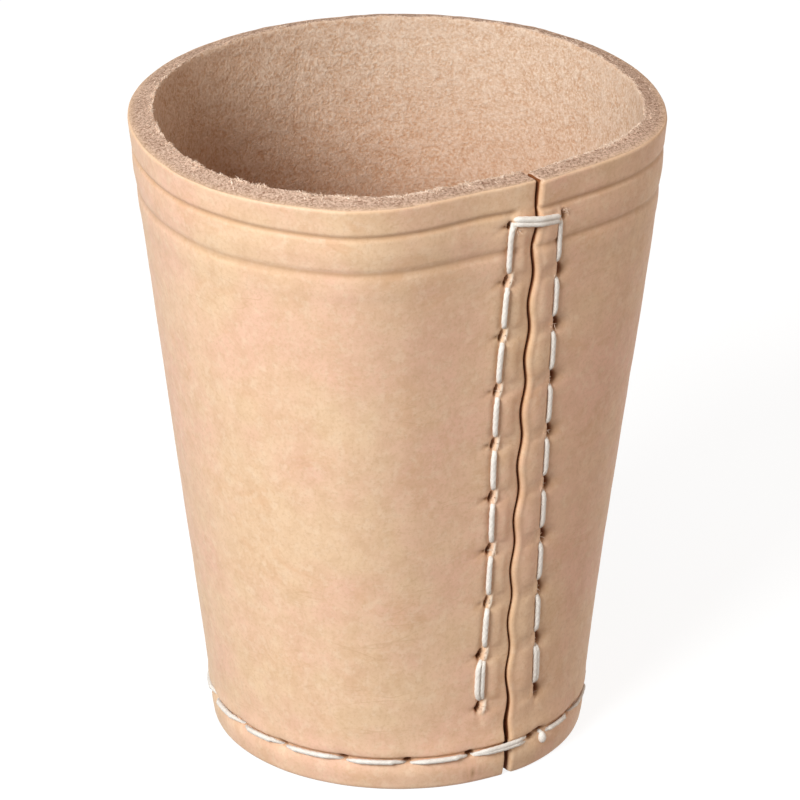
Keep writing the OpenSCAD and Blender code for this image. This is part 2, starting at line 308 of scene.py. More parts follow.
def foot_relief(a, z):
    """Height round the foot stitches, which lie in a fold, and their darkness:
    painted shade in the slits and the fold, a painted shadow line under the overhang
    above the thread, and the stain.
    """
    round_a = np.where(a < 0, a + 360, a)
    slits = np.array(FOOT_SLITS)
    off = np.abs(round_a[..., None] - slits)
    off = np.minimum(off, 360 - off).min(-1)
    across = np.radians(off) * FOOT_R
    dz = z - FOOT_ROW_Z
    fold = -FOLD_DEPTH * np.where(dz > 0, np.exp(-(dz / 0.62) ** 4), bump(dz, 1.15))
    overhang = OVERHANG * bump(dz - 1.5, 1.0) * (1 - 0.3 * bump(across, 1.5))
    lip = FOOT_LIP * bump(dz + 2.7, 1.7)
    dimple = -FOOT_DIMPLE * bump(across, 1.9) * bump(dz, 1.7)
    opening = np.exp(-((across / 0.66) ** 2 + ((dz - 0.02) / 0.5) ** 2) ** 1.7)
    beside_bead = np.radians(a - BEAD_A + 1.2) * FOOT_R
    torn = bump(beside_bead, 1.0) * bump(dz - 0.62 - 0.1 * beside_bead, 0.3)
    opening = np.maximum(opening, torn)
    height = fold + overhang + lip + dimple - FOOT_HOLE_DEPTH * opening
    # Painted shade in the slits, a painted shadow line under the overhang above the thread, and
    # painted shade in the fold
    dark = 1.1 * opening + 0.5 * bump(dz - 0.5, 0.22) + 0.2 * bump(dz, 0.5)
    beside_stain = np.radians(a - FOOT_SLITS[-1] + 360 - STAIN_OFF) * FOOT_R
    streaks = 0.6 + 0.4 * np.cos(5 * beside_stain)
    stain = bump(beside_stain, 1.5) * bump(z - STAIN_Z, 1.1) * streaks
    return height, np.clip(dark + STAIN_SHADE * stain, 0, 1)


def grain_relief(a, z):
    x, y = at_angle(smooth_r(a, z, 0), a)
    crease_h, crease_d = creases(x, y, a, z)
    seam_h, seam_painted_light = seam_relief(x, a, z)
    foot_h, foot_shade_and_stain = foot_relief(a, z)
    lumps = 0.1 * fractal(x, y, z, 23, 7) + 0.025 * fractal(x, y, z, 4.5, 11)
    step = np.where(a < 0, -0.1, 0.22) * bump(a, 16)
    height = crease_h + seam_h + foot_h + lumps + step
    # Besides the height: painted shade in the creases, and painted light round the slits with the
    # foot's stain
    return height, crease_d, np.clip(seam_painted_light + foot_shade_and_stain, -1, 1)


def flesh_relief(a, z):
    x, y = at_angle(smooth_r(a, z, 1), a)
    return 0.12 * fractal(x, y, z, 2.4, 21, 3) + 0.18 * noise(x, y, z, 17, 29)


# --- The wall as one closed mesh ---

def edge_wave(z):
    """How far the seam wanders sideways: right at the slits, left between them."""
    phase = 2 * np.pi * (TOP_SLIT_Z - z) / STITCH_PITCH
    sewn = ease((z - BOTTOM_SLIT_Z + 7) / 5) * ease((RIM_Z - z) / 8)
    low = -0.42 * (1 - ease((z - 1) / 11))
    drift = 0.08 * noise(z, 0, 0, 13, 41)
    return 0.17 + 0.27 * np.cos(phase) * sewn + low + drift


def seam_r(z):
    return cone_r(z) - DRAW_LEFT * draw_growth(z)


def edge_angle(side, z):
    wide = 0.3 * (1 - ease((z - 7) / 9)) + 0.05 * ease((z - 94) / 5)
    gap = SEAM_GAP / 2 - 0.01 + wide + 0.02 * noise(z, side * 5.0, 0, 3.1, 43)
    return np.degrees((edge_wave(z) + side * gap) / seam_r(z))


def from_seam(a, z):
    """The angle with its zero moved on to the wandering seam."""
    wave = np.degrees(edge_wave(z) / seam_r(z))
    return a - wave * bump(a - wave, 3.0)


# Radius of the worn corners, and how much more or less it is along the seam's ends
CORNER_R, RIGHT_WEAR, LEFT_WEAR = 0.42, 0.24, -0.14


def wall_place(u, v, w):
    """Place of a point of the wall: u runs from -1, the left end, over 0, the back,
    to 1, the right end; v from 0, the foot, to 1, the rim; w from the grain side,
    0, to the flesh side, 1. Also gives the masks that the leather's colour uses:
    painted shade in the creases with the rubbed right edge, painted shade and
    highlight round the slits with the foot's stain, painted shade on the seam's end
    faces, and the raw cut."""
    u, v, w = np.broadcast_arrays(np.asarray(u, float), v, w)
    side = np.where(u < 0, -1, 1)
    z = v * RIM_Z
    start = edge_angle(side, z)
    a = start * np.abs(u) + side * 180 * (1 - np.abs(u))
    z = z + v ** 8 * rim_slope(a) * w
    r_mid = smooth_r(a, z, 0.5)
    edge = np.radians(np.abs(a - start)) * r_mid
    depth = w * WALL_T
    radius = CORNER_R + np.where(side > 0, RIGHT_WEAR, LEFT_WEAR) * bump(edge, 1.6)
    over = [np.clip(radius - away, 0, None)
            for away in (edge, (1 - v) * RIM_Z, v * RIM_Z, depth, WALL_T - depth)]
    over_edge, over_top, over_foot, over_grain, over_flesh = over
    length = np.sqrt(sum(part ** 2 for part in over))
    pull = 1 - radius / np.maximum(length, radius)
    a = a + side * np.degrees(over_edge * pull / r_mid)
    z = z - over_top * pull + over_foot * pull
    w_round = w + (over_grain - over_flesh) * pull / WALL_T
    form_a = from_seam(a, z)
    r = smooth_r(form_a, z, w_round)
    height, crease, slit = grain_relief(form_a, z)
    flesh = flesh_relief(a, z)
    skin = np.clip(1 - w * 1.6, 0, 1)
    rim, foot, end = v > 0.9999, v < 0.0001, np.abs(u) > 0.9999
    x0, y0 = at_angle(r, a)
    raw = ease((w - 0.03) / 0.08) * (0.62 + 0.38 * ease((w - 0.1) / 0.3)) * (rim | foot)
    fibre = (0.08 * fractal(x0, y0, z, 0.9, 51, 2) + 0.1 * noise(x0, y0, 0, 3.7, 55)) * raw
    r = r + height * skin - flesh * np.clip(w * 1.6 - 0.6, 0, 1)
    z = z + 1.4 * fibre * rim - np.minimum(fibre, 0) * foot
    place = np.stack([*at_angle(r, a), z], -1)
    # Painted shade on the seam's end faces, darker deeper in the narrow gap
    gap_shade = ease((depth - 0.42) / 0.4) * end
    rubbed = 0.5 * bump(edge, 0.8) * (side > 0) * (w < 0.3)
    # First mask: painted shade in the creases and the rubbed right edge; second: painted light
    # round the slits with the stain, or painted shade on the end faces; third: the raw cut
    masks = np.stack([np.maximum(crease * (w < 0.001), rubbed),
                      np.where(end, gap_shade, slit * skin), raw], -1)
    return place, masks


def spaced(low, high, step):
    count = max(2, 2 * round((high - low) / step / 2))
    return list(np.linspace(low, high, count + 1))


def joined(*runs):
    values = [runs[0][0]]
    for run in runs:
        values += list(run[1:])
    return values


# How far the close rows reach from the foot's stitches and from a slit of the seam,
# and how far the close columns reach from the seam, at a middling radius
FOOT_REACH, SLIT_ZONE, SEAM_ZONE = 1.2, 1.3, 9.5
COLUMN_R = 32.0
# Away from the seam the grid is coarse between these heights
FOOT_TOP, MIDDLE_TOP = 7.3, TOP_SLIT_Z - STITCH_PITCH + SLIT_ZONE


def wall_rows():
    """Heights of the rows, close together at the slits, the creases and the foot."""
    low, high = FOOT_ROW_Z - FOOT_REACH, FOOT_ROW_Z + FOOT_REACH
    rows = joined(spaced(0, low, 0.4), spaced(low, high, 0.2), spaced(high, FOOT_TOP, 0.4))
    for k in range(SEAM_STITCHES, -1, -1):
        low, high = slit_z(k) - SLIT_ZONE, slit_z(k) + SLIT_ZONE
        rows = joined(rows, spaced(rows[-1], low, 0.55), spaced(low, high, 0.24))
    rows = joined(rows, spaced(rows[-1], RIM_Z - 3.6, 0.3), spaced(RIM_Z - 3.6, RIM_Z - 0.8, 0.5),
                  spaced(RIM_Z - 0.8, RIM_Z, 0.16))
    return np.array(rows)


def wall_columns(side):
    """u of the columns on one side, from the seam to the back: close together beside
    the seam and at the foot's slits."""
    x = joined(spaced(0, 1.2, 0.15), spaced(1.2, 7.2, 0.25), spaced(7.2, SEAM_ZONE, 0.5))
    zone = [math.degrees(value / COLUMN_R) for value in x]
    angles = [a if side > 0 else 360 - a for a in FOOT_SLITS]
    angles = sorted(a for a in angles if zone[-1] + 2 < a < 176)
    half = math.degrees(1.1 / FOOT_R)
    run = [zone]
    last = zone[-1]
    for a in angles:
        run += [spaced(last, a - half, 2.2), spaced(a - half, a + half, 0.55)]
        last = a + half
    run.append(spaced(last, 180, 2.2))
    return side * (1 - np.array(joined(*run)) / 180)


WELDS_PER_MM = 20000


class Patches:
    """Grids of faces that share their edges, gathered into one mesh. Points that
    round to the same place become one."""

    def __init__(self, place):
        self.place = place
        self.points, self.masks, self.faces, self.materials = [], [], [], []
        self.count = 0

    def add(self, u, v, w, material, flip=False, coarse=False):
        """A grid over two of u, v and w; the third is a single value. A coarse grid
        uses every second line, and keeps all the points of its own border."""
        grids = np.meshgrid(u, v, w, indexing="ij")
        n, m = [k for k in grids[0].shape if k > 1]
        place, masks = self.place(*[g.reshape(n, m) for g in grids])
        index = np.arange(n * m).reshape(n, m) + self.count
        step = 2 if coarse else 1
        faces = []
        for i in range(0, n - 1, step):
            for j in range(0, m - 1, step):
                p, q = i + step, j + step
                corners = ((i, j, True), (i + 1, j, coarse and j == 0), (p, j, True),
                           (p, j + 1, coarse and p == n - 1), (p, q, True),
                           (i + 1, q, coarse and q == m - 1), (i, q, True),
                           (i, j + 1, coarse and i == 0))
                ring = [index[at, across] for at, across, kept in corners if kept]
                faces.append(ring[::-1] if flip else ring)
        self.points.append(place.reshape(-1, 3))
        self.masks.append(masks.reshape(n * m, masks.shape[-1]))
        self.faces += faces
        self.materials += [material] * len(faces)
        self.count += n * m

    def mesh(self, name, materials, mask_names):
        points = np.concatenate(self.points)
        masks = np.concatenate(self.masks)
        keys = np.round(points * WELDS_PER_MM).astype(np.int64)
        _, first, same = np.unique(keys, axis=0, return_index=True, return_inverse=True)
        same = same.reshape(-1)
        faces = [list(dict.fromkeys(same[f].tolist())) for f in self.faces]
        kept = [i for i, f in enumerate(faces) if len(f) > 2]
        used, compact = np.unique(np.concatenate([faces[i] for i in kept]), return_inverse=True)
        ends = np.cumsum([len(faces[i]) for i in kept])
        rings = [ring.tolist() for ring in np.split(compact.reshape(-1), ends[:-1])]
        points, masks = points[first][used], masks[first][used]
        piece = add_mesh(name, points, rings, materials)
        piece.data.polygons.foreach_set("material_index", [self.materials[i] for i in kept])
        for i, mask in enumerate(mask_names):
            add_values(piece, mask, masks[:, i])
        piece.data.validate()
        return piece


GRAIN, FLESH, CUT = 0, 1, 2
# Depths of the layers across the cut faces, from the grain side to the flesh side
LAYER_DEPTHS = (0, 0.12, 0.26, 0.42, 0.6, 0.85, 1.2, 1.6, 2.0, 2.4, 2.8, 3.15, 3.4, 3.6, WALL_T)


def make_wall(materials):
    left, right = wall_columns(-1), wall_columns(1)
    u = np.concatenate([left, right[::-1][1:]])
    rows = wall_rows()
    v = rows / RIM_Z
    w = np.array(LAYER_DEPTHS) / WALL_T
    zone_u = 1 - math.degrees(SEAM_ZONE / COLUMN_R) / 180
    tiny = 1e-6
    in_left, in_right = u <= -zone_u + tiny, u >= zone_u - tiny
    plain = np.abs(u) <= zone_u + tiny
    low, high = rows <= FOOT_TOP + tiny, rows >= MIDDLE_TOP - tiny
    middle = (rows >= FOOT_TOP - tiny) & (rows <= rows[high][0] + tiny)
    wall = Patches(wall_place)
    wall.add(u[in_left], v, 0, GRAIN)
    wall.add(u[in_right], v, 0, GRAIN)
    wall.add(u[plain], v[low], 0, GRAIN)
    wall.add(u[plain], v[middle], 0, GRAIN, coarse=True)
    wall.add(u[plain], v[high], 0, GRAIN)
    wall.add(u, v, 1, FLESH, flip=True, coarse=True)
    wall.add(u, 1, w, CUT)
    wall.add(u, 0, w, CUT, flip=True)
    wall.add(-1, v, w, GRAIN)
    wall.add(1, v, w, GRAIN, flip=True)
    return wall.mesh("leather_wall", materials, ("crease", "slit", "cut"))


# --- The base ---

def base_r(z):
    return cone_r(z) - WALL_ACROSS - BASE_CLEAR


def bend(x, z, r, start, end, steps=8):
    angles = np.radians(np.linspace(start, end, steps + 1))
    return [(x - r + r * math.cos(t), z + r * math.sin(t)) for t in angles]


def line(a, b, step):
    count = max(1, round(math.dist(a, b) / step))
    return [(a[0] + (b[0] - a[0]) * i / count, a[1] + (b[1] - a[1]) * i / count)
            for i in range(count)]


def base_profile():
    """From the middle of the floor, over the flange, to the middle underneath."""
    outer_bend, inner_bend, lip = 2.4, 1.6, 0.35
    top = bend(base_r(BASE_H - outer_bend), BASE_H - outer_bend, outer_bend, 90, 0)
    foot_out = bend(base_r(0), lip, lip, 0, -90, 3)
    foot_in = [(2 * (base_r(0) - BASE_T + lip) - x, z)
               for x, z in bend(base_r(0) - BASE_T + 2 * lip, lip, lip, -90, 0, 3)]
    under_z = BASE_H - BASE_T - inner_bend
    under = bend(base_r(under_z) - BASE_T, under_z, inner_bend, 0, 90)
    runs = [[(0, BASE_H)], top, foot_out, foot_in, under, [(0, BASE_H - BASE_T)]]
    profile = []
    for before, after, step in zip(runs, runs[1:], (0.8, 0.7, 0.5, 0.7, 0.8)):
        profile += before[:-1] + line(before[-1], after[0], step)
    return profile + runs[-1]


FLOOR_SAG = 0.5


def make_base(materials):
    profile = np.array(base_profile())
    along = np.gradient(profile, axis=0)
    normal = np.stack([-along[:, 1], along[:, 0]], -1)
    normal /= -np.linalg.norm(normal, axis=1)[:, None]

    def place(angle, row, _):
        row = row.astype(int)
        r, z = profile[row, 0], profile[row, 1]
        x, y = at_angle(r, angle)
        soft = 0.1 * fractal(x, y, z, 2.6, 61, 2) + 0.22 * noise(x, y, z, 14, 63)
        inside = (r < base_r(0) - 0.6) & (z > 0.6)
        soft = np.where(inside, soft, np.minimum(soft, 0) * 0.4) * ease(r / 3)
        sag = -FLOOR_SAG * bump(r, 14) * (z > BASE_H / 2)
        r = r + soft * normal[row, 0]
        z = np.maximum(z + soft * normal[row, 1] + sag, 0)
        return np.stack([*at_angle(r, angle), z], -1), np.empty((*r.shape, 0))

    base = Patches(place)
    base.add(np.linspace(0, 360, 145), np.arange(len(profile)), 0, 0, flip=True)
    return base.mesh("leather_base", materials, ())


# --- Threads ---

def smoothed(corners, radius=0.75, step=0.16):
    """Rounds the corners of a route and gives points a step apart. Each point has
    the thread's radius as its fourth number."""
    path = [corners[0]]
    for before, p, after in zip(corners, corners[1:], corners[2:]):
        back, on = before - p, after - p
        reach = min(radius, np.linalg.norm(back) / 2.2, np.linalg.norm(on) / 2.2)
        a = p + reach * back / np.linalg.norm(back)
        b = p + reach * on / np.linalg.norm(on)
        path += [(1 - t) ** 2 * a + 2 * t * (1 - t) * p + t * t * b
                 for t in np.linspace(0, 1, 6)]
    path.append(corners[-1])
    path = np.array(path)
    travelled = np.concatenate([[0], np.cumsum(np.linalg.norm(np.diff(path, axis=0), axis=1))])
    places = np.linspace(0, travelled[-1], max(2, round(travelled[-1] / step)))
    return np.stack([np.interp(places, travelled, path[:, i]) for i in range(4)], -1), places


def tube_faces(rings, n):
    """Faces of a closed tube of rings of n points: the sides, then the two ends."""
    sides = [[i * n + j, i * n + (j + 1) % n, (i + 1) * n + (j + 1) % n, (i + 1) * n + j]
             for i in range(rings - 1) for j in range(n)]
    return sides + [list(range(n))[::-1], [(rings - 1) * n + j for j in range(n)]]


def gathered(parts):
    """The points and the faces of several meshes as one."""
    points, faces = [], []
    for more_points, more_faces in parts:
        faces += [[i + len(points) for i in face] for face in more_faces]
        points += list(more_points)
    return points, faces


# The plies turn once round in this length
PLIES, PLY_TURN = 3, 3.4
ROUND_SIDES = 15


def sweep(corners, flat=0.86, bead=None):
    """Points and faces of a closed twisted thread along a route, and how far along
    and around it each point is. The thread is pressed flat by a share. A bead is
    the radius and length of the melted blob that ends it."""
    path, places = smoothed(corners)
    path, radii = path[:, :3], path[:, 3]
    heading = np.gradient(path, axis=0)
    heading /= np.linalg.norm(heading, axis=1)[:, None]
    normal = np.array([0.1, -1, 0.05])
    rings = []
    phi = np.linspace(0, 2 * np.pi, ROUND_SIDES, endpoint=False)
    for i, (p, t) in enumerate(zip(path, heading)):
        normal = unit(normal - (normal @ t) * t)
        across = np.cross(t, normal)
        twist = 2 * np.pi * places[i] / PLY_TURN
        ply = 1 + 0.045 * np.cos(PLIES * (phi - twist))
        uneven = 1 + 0.05 * noise(places[i], p[0], p[2], 2.3, 71)
        r = radii[i] * ply * uneven
        thin = flat
        left = places[-1] - places[i]
        if bead and left < bead[1]:
            thin, half = 1.0, bead[1] / 2
            swell = math.sqrt(max(0.02, 1 - (left / half - 1) ** 2))
            r = max(bead[0] * swell, radii[i] * 0.6 if left > half else 0.05)
        rings.append(p + np.outer(thin * r * np.cos(phi), normal)
                     + np.outer(r * np.sin(phi), across))
    points = np.array(rings).reshape(-1, 3)
    along = np.repeat(places, ROUND_SIDES)
    around = np.tile(phi / (2 * np.pi), len(rings))
    return points, tube_faces(len(rings), ROUND_SIDES), along, around


def thread_piece(name, parts, material):
    piece = add_mesh(name, *gathered(part[:2] for part in parts), [material])
    add_values(piece, "along", np.concatenate([part[2] for part in parts]))
    add_values(piece, "around", np.concatenate([part[3] for part in parts]))
    return piece


def on_wall(x, z, depth, off):
    """A point off one face of the wall at a given x, found by going round."""
    a = 8.0 * np.sign(x)
    for _ in range(4):
        r = smooth_r(a, z, depth)
        a = math.degrees(math.asin(x / r))
    return np.array([*at_angle(r + off, a), z])


# The threads lie half sunk in the grain side and flat on the flesh side
OUTSIDE, INSIDE = 0.1, -0.5
# A strand goes through a slit this far from its middle; two lie this far apart
SLIT_REACH = 1.0
BESIDE = 0.76


def out(x, z, more=0.0, share=1.0):
    """A point of a route on the grain side, with a share of the thread's radius."""
    return np.append(on_wall(x, z, 0, OUTSIDE + more), THREAD_R * share)


def behind(x, z, more=0.0):
    return np.append(on_wall(x, z, 1, INSIDE - more), THREAD_R)


def slit_x(side, k):
    return side * float(row_x(slit_z(k), side))


# Down from the slit, off the leather, away from the gap, and share of the radius
STITCH_START = ((0.7, -1.6, -0.95, 0.7), (1.15, -0.75, -0.5, 0.8), (1.65, -0.12, -0.16, 0.92),
                (2.5, 0.03, 0, 1))
FIRST_START = {-1: ((-0.45, -1.2, -0.75, 1), (0.1, -0.3, -0.5, 1), (0.9, -0.02, -0.15, 1),
                    (2.0, 0.03, 0, 1)),
               1: ((0.1, -1.2, -0.3, 1), (0.5, -0.35, -0.12, 1), (1.1, -0.02, 0, 1),
                   (2.0, 0.03, 0, 1))}
STITCH_END = ((2.6, 0.03, 0, 1), (1.75, -0.1, -0.16, 0.92), (1.2, -0.7, -0.5, 0.8),
              (0.7, -1.6, -0.95, 0.7))
RIGHT_SHIFT = 0.25


def row_stitch(side, k, beside=0.0):
    """Corners of the stitch from slit k down to the next: it slides under the
    leather's lip at both ends. A second strand lies beside the first."""
    start = STITCH_START if k else FIRST_START[side]
    places = ([(slit_z(k) - down, *rest) for down, *rest in start]
              + [(slit_z(k + 1) + up, *rest) for up, *rest in STITCH_END])
    corners = []
    for z, off, shift, share in places:
        shift *= 1 if side < 0 or z > TOP_SLIT_Z - 1 else RIGHT_SHIFT
        x = side * (float(row_x(z, side)) + shift + beside * (1 + 0.8 * min(0, shift)))
        corners.append(out(x, z, off, share))
    return corners


# Where the strands cross the seam, and the double bar over the top slits: heights of
# its ends, how far they stay inside the slits, half the strands' distance and their
# share of the radius
BRIDGE_X = 0.3
BAR_Z = {-1: 94.2, 1: 93.15}
BAR_END = {-1: 0.75, 1: 0.25}
BAR_HALF = 0.34
BAR_SHARE = 1.3


def seam_route(side, over):
    """One strand of the seam, from its start behind the top slit to its end."""
    lift = BESIDE if over else 0
    half = -BAR_HALF if over else BAR_HALF
    near_z, far_z = BAR_Z[side] + half, BAR_Z[-side] + half
    near_x = slit_x(side, 0) - side * BAR_END[side]
    far_x = slit_x(-side, 0) + side * BAR_END[-side]
    middle = out(BRIDGE_X, (near_z + far_z) / 2, 0.3, BAR_SHARE)
    route = [behind(near_x, near_z), out(near_x, near_z - 0.4, -1.3),
             out(near_x - side * 0.1, near_z, 0.0, BAR_SHARE), middle,
             out(far_x + side * 0.1, far_z, 0.0, BAR_SHARE), out(far_x, far_z - 0.4, -1.3),
             behind(far_x, far_z)]
    route += [behind(-BRIDGE_X, near_z - 0.5, lift),
              behind(slit_x(side, 0), slit_z(0) - SLIT_REACH)]
    for k in range(SEAM_STITCHES):
        s = side if k % 2 == 0 else -side
        route += row_stitch(s, k)
        route.append(behind(slit_x(s, k + 1), slit_z(k + 1) + SLIT_REACH))
        if k < SEAM_STITCHES - 1:
            route.append(behind(-BRIDGE_X, slit_z(k + 1), lift))
            route.append(behind(slit_x(-s, k + 1), slit_z(k + 1) - SLIT_REACH))
    last = SEAM_STITCHES - 1
    s = side if last % 2 == 0 else -side
    beside = BESIDE if s < 0 else BESIDE * 0.5
    route.append(behind(slit_x(s, last) + s * beside, slit_z(last) - SLIT_REACH))
    route += row_stitch(s, last, beside)
    route.append(behind(slit_x(s, last + 1) + s * beside, slit_z(last + 1) + SLIT_REACH, 0.6))
    return route


# Where a foot stitch begins past its slit's middle, and how far its middle line lies
# off the grain side and off the flange behind it
FOOT_GAP = 0.8
FOOT_OFF, FOOT_BEHIND = -0.04, 0.6


def foot_over(angle, z, off=FOOT_OFF, share=1.0):
    """A point of a route round the foot; the thread is pulled thin on the right."""
    a = signed(angle % 360)
    share *= 1.06 - 0.26 * bump(a - 34, 30)
    return np.array([*at_angle(smooth_r(a, FOOT_ROW_Z, 0) + off, angle), z,
                     FOOT_THREAD_R * share])


def foot_behind(angle, z):
    r = base_r(FOOT_ROW_Z) - BASE_T - FOOT_BEHIND
    return np.array([*at_angle(r, angle), z, FOOT_THREAD_R])


def turn_a(k):
    return FOOT_SLITS[k % FOOT_STITCHES] + 360 * (k // FOOT_STITCHES)


# As a stitch sinks into its slit: share of the inset, up, off the leather, and share
# of the radius
FOOT_SINK = ((0.2, -0.75, -1.5, 0.55), (1.0, -0.26, -0.55, 0.6), (2.6, -0.04, -0.16, 0.92))


def foot_stitch(a, b, za, zb):
    """Corners of a stitch round the foot from one slit to the next. Its ends sink
    into the slits and taper out of sight there."""
    inset = math.degrees(FOOT_GAP / FOOT_R)
    corners = [foot_over(a + t * inset, za + dz, off, share) for t, dz, off, share in FOOT_SINK]
    for t in (0.25, 0.5, 0.75):
        corners.append(foot_over(a + (b - a) * t, za + (zb - za) * t,
                                 FOOT_OFF + 0.1 * math.sin(math.pi * t)))
    corners += [foot_over(b - t * inset, zb + dz, off, share)
                for t, dz, off, share in reversed(FOOT_SINK)]
    return corners


# Heights at which the ends of the foot's stitches go in and come out, and the same
# for the two strands over the seam
FOOT_HIGH, FOOT_LOW = FOOT_ROW_Z + 0.02, FOOT_ROW_Z - 0.14
SEAM_HIGH, SEAM_LOW = FOOT_ROW_Z + 0.3, FOOT_ROW_Z - 0.36
SEAM_JOIN = FOOT_ROW_Z + 0.05


def foot_pair(k):
    """A stitch on the grain side with the points behind its ends. The first one comes
    up past the bead."""
    start = turn_a(k) if k else BEAD_A - 0.1
    return ([foot_behind(turn_a(k), FOOT_LOW)]
            + foot_stitch(start, turn_a(k + 1), FOOT_LOW, FOOT_HIGH)
            + [foot_behind(turn_a(k + 1), FOOT_HIGH)])


def foot_route_a():
    start, end = FOOT_SLITS[-1] - 360, FOOT_SLITS[0]
    route = [foot_behind(start, SEAM_HIGH)]
    route += foot_stitch(start, end, SEAM_JOIN, SEAM_HIGH)
    route.append(foot_behind(end, SEAM_HIGH))
    for k in range(1, FOOT_STITCHES - 2, 2):
        route += foot_pair(k)
    route.append(foot_behind(start, SEAM_LOW))
    route += foot_stitch(start, end, SEAM_JOIN - 0.2, SEAM_LOW)
    return route


def foot_route_b():
    return [corner for k in range(0, FOOT_STITCHES - 1, 2) for corner in foot_pair(k)]


def melted_end():
    """The short end of the closing strand, melted to a long bead that hangs beside
    the first slit."""
    top = BEAD_Z + BEAD_LENGTH / 2
    return [foot_over(BEAD_A, top - 0.6, -2.0), foot_over(BEAD_A, top - 0.15, -0.9),
            foot_over(BEAD_A, top - 0.1, 0.0), foot_over(BEAD_A, top - 0.7, 0.2),
            foot_over(BEAD_A + 0.1, BEAD_Z - BEAD_LENGTH / 2, 0.22)]


def make_threads(material):
    closing = [sweep(foot_route_a()), sweep(melted_end(), bead=(BEAD_R, BEAD_LENGTH))]
    return {
        "seam_thread_a": thread_piece("seam_strand_a", [sweep(seam_route(-1, False))], material),
        "seam_thread_b": thread_piece("seam_strand_b", [sweep(seam_route(1, True))], material),
        "base_thread_a": thread_piece("foot_strand_a", closing, material),
        "base_thread_b": thread_piece("foot_strand_b", [sweep(foot_route_b())], material),
    }


# --- Loose fibres ---

RIM_FIBRES, CUT_FIBRES, TUFT_FIBRES, LIP_FIBRES = 5200, 1500, 16, 5
FIBRE_SIDES, FIBRE_RINGS = 3, 4
# x and height of the tufts at the seam's top slits
TUFTS = ((5.0, 94.4), (5.5, 94.1), (-3.2, 92.6))


def fibre_strand(base, heading, curl, length, thick):
    """Points and faces of one tapered, curling fibre."""
    normal = unit(np.cross(heading, (0.3, 0.5, 0.8)))
    across = np.cross(heading, normal)
    points = []
    for i in range(FIBRE_RINGS):
        t = i / (FIBRE_RINGS - 1)
        centre = base + length * (t * heading + t * t * curl)
        r = thick * (1 - 0.75 * t)
        points += [centre + r * (math.cos(p) * normal + math.sin(p) * across)
                   for p in np.linspace(0, 2 * np.pi, FIBRE_SIDES, endpoint=False)]
    return points, tube_faces(FIBRE_RINGS, FIBRE_SIDES)


def rim_fibre(chance, low, high):
    """A fibre on the cut rim, between two shares of the way to the flesh side."""
    u = chance.uniform(-0.995, 0.995)
    w = low + (high - low) * chance.random() ** 0.5
    base = wall_place(u, 1.0, w)[0].reshape(3)
    inward = unit(np.array([-base[0], -base[1], 0]))
    sideways = np.array([-inward[1], inward[0], 0])
    tangle = 0.5 + 0.5 * float(noise(base[0], base[1], 0, 1.6, 83))
    heading = unit((0.25 + 0.9 * w * chance.random()) * inward
                   + chance.normal(0, 0.9) * sideways + np.array([0, 0, 0.35 + chance.random()]))
    curl = 0.5 * chance.normal(0, 1) * sideways - np.array([0, 0, 0.5]) * chance.random()
    left = bump(math.degrees(math.atan2(base[0], -base[1])) + 60, 75)
    length = (0.22 + 0.4 * chance.random() ** 2) * (0.5 + 1.3 * tangle ** 2) * (0.6 + 0.45 * left)
    return base - 0.08 * heading, heading, curl, length, 0.055 + 0.04 * tangle


def tuft_fibre(chance, x, z):
    """A fibre that the awl raised beside one of the seam's slits."""
    base = on_wall(x + chance.normal(0, 0.22), z + chance.normal(0, 0.22), 0, -0.05)
    outward = unit(np.array([base[0], base[1], 0]))
    heading = unit(outward + chance.normal(0, 0.8, 3))
    return base, heading, chance.normal(0, 0.4, 3), 0.35 + 0.5 * chance.random(), 0.06


def make_fibres(material):
    chance = np.random.default_rng(5)
    strands = [rim_fibre(chance, 0.82, 1.0) for _ in range(RIM_FIBRES)]
    strands += [rim_fibre(chance, 0.3, 0.95) for _ in range(CUT_FIBRES)]
    for x, z in TUFTS:
        strands += [tuft_fibre(chance, x, z) for _ in range(TUFT_FIBRES)]
    for side in (-1, 1):
        for k in range(1, SEAM_STITCHES + 1):
            x = slit_x(side, k) - side * 0.45
            strands += [tuft_fibre(chance, x, slit_z(k)) for _ in range(LIP_FIBRES)]
    points, faces = gathered(fibre_strand(*strand) for strand in strands)
    return add_mesh("loose_fibres", points, faces, [material], smooth=False)


# --- Materials ---

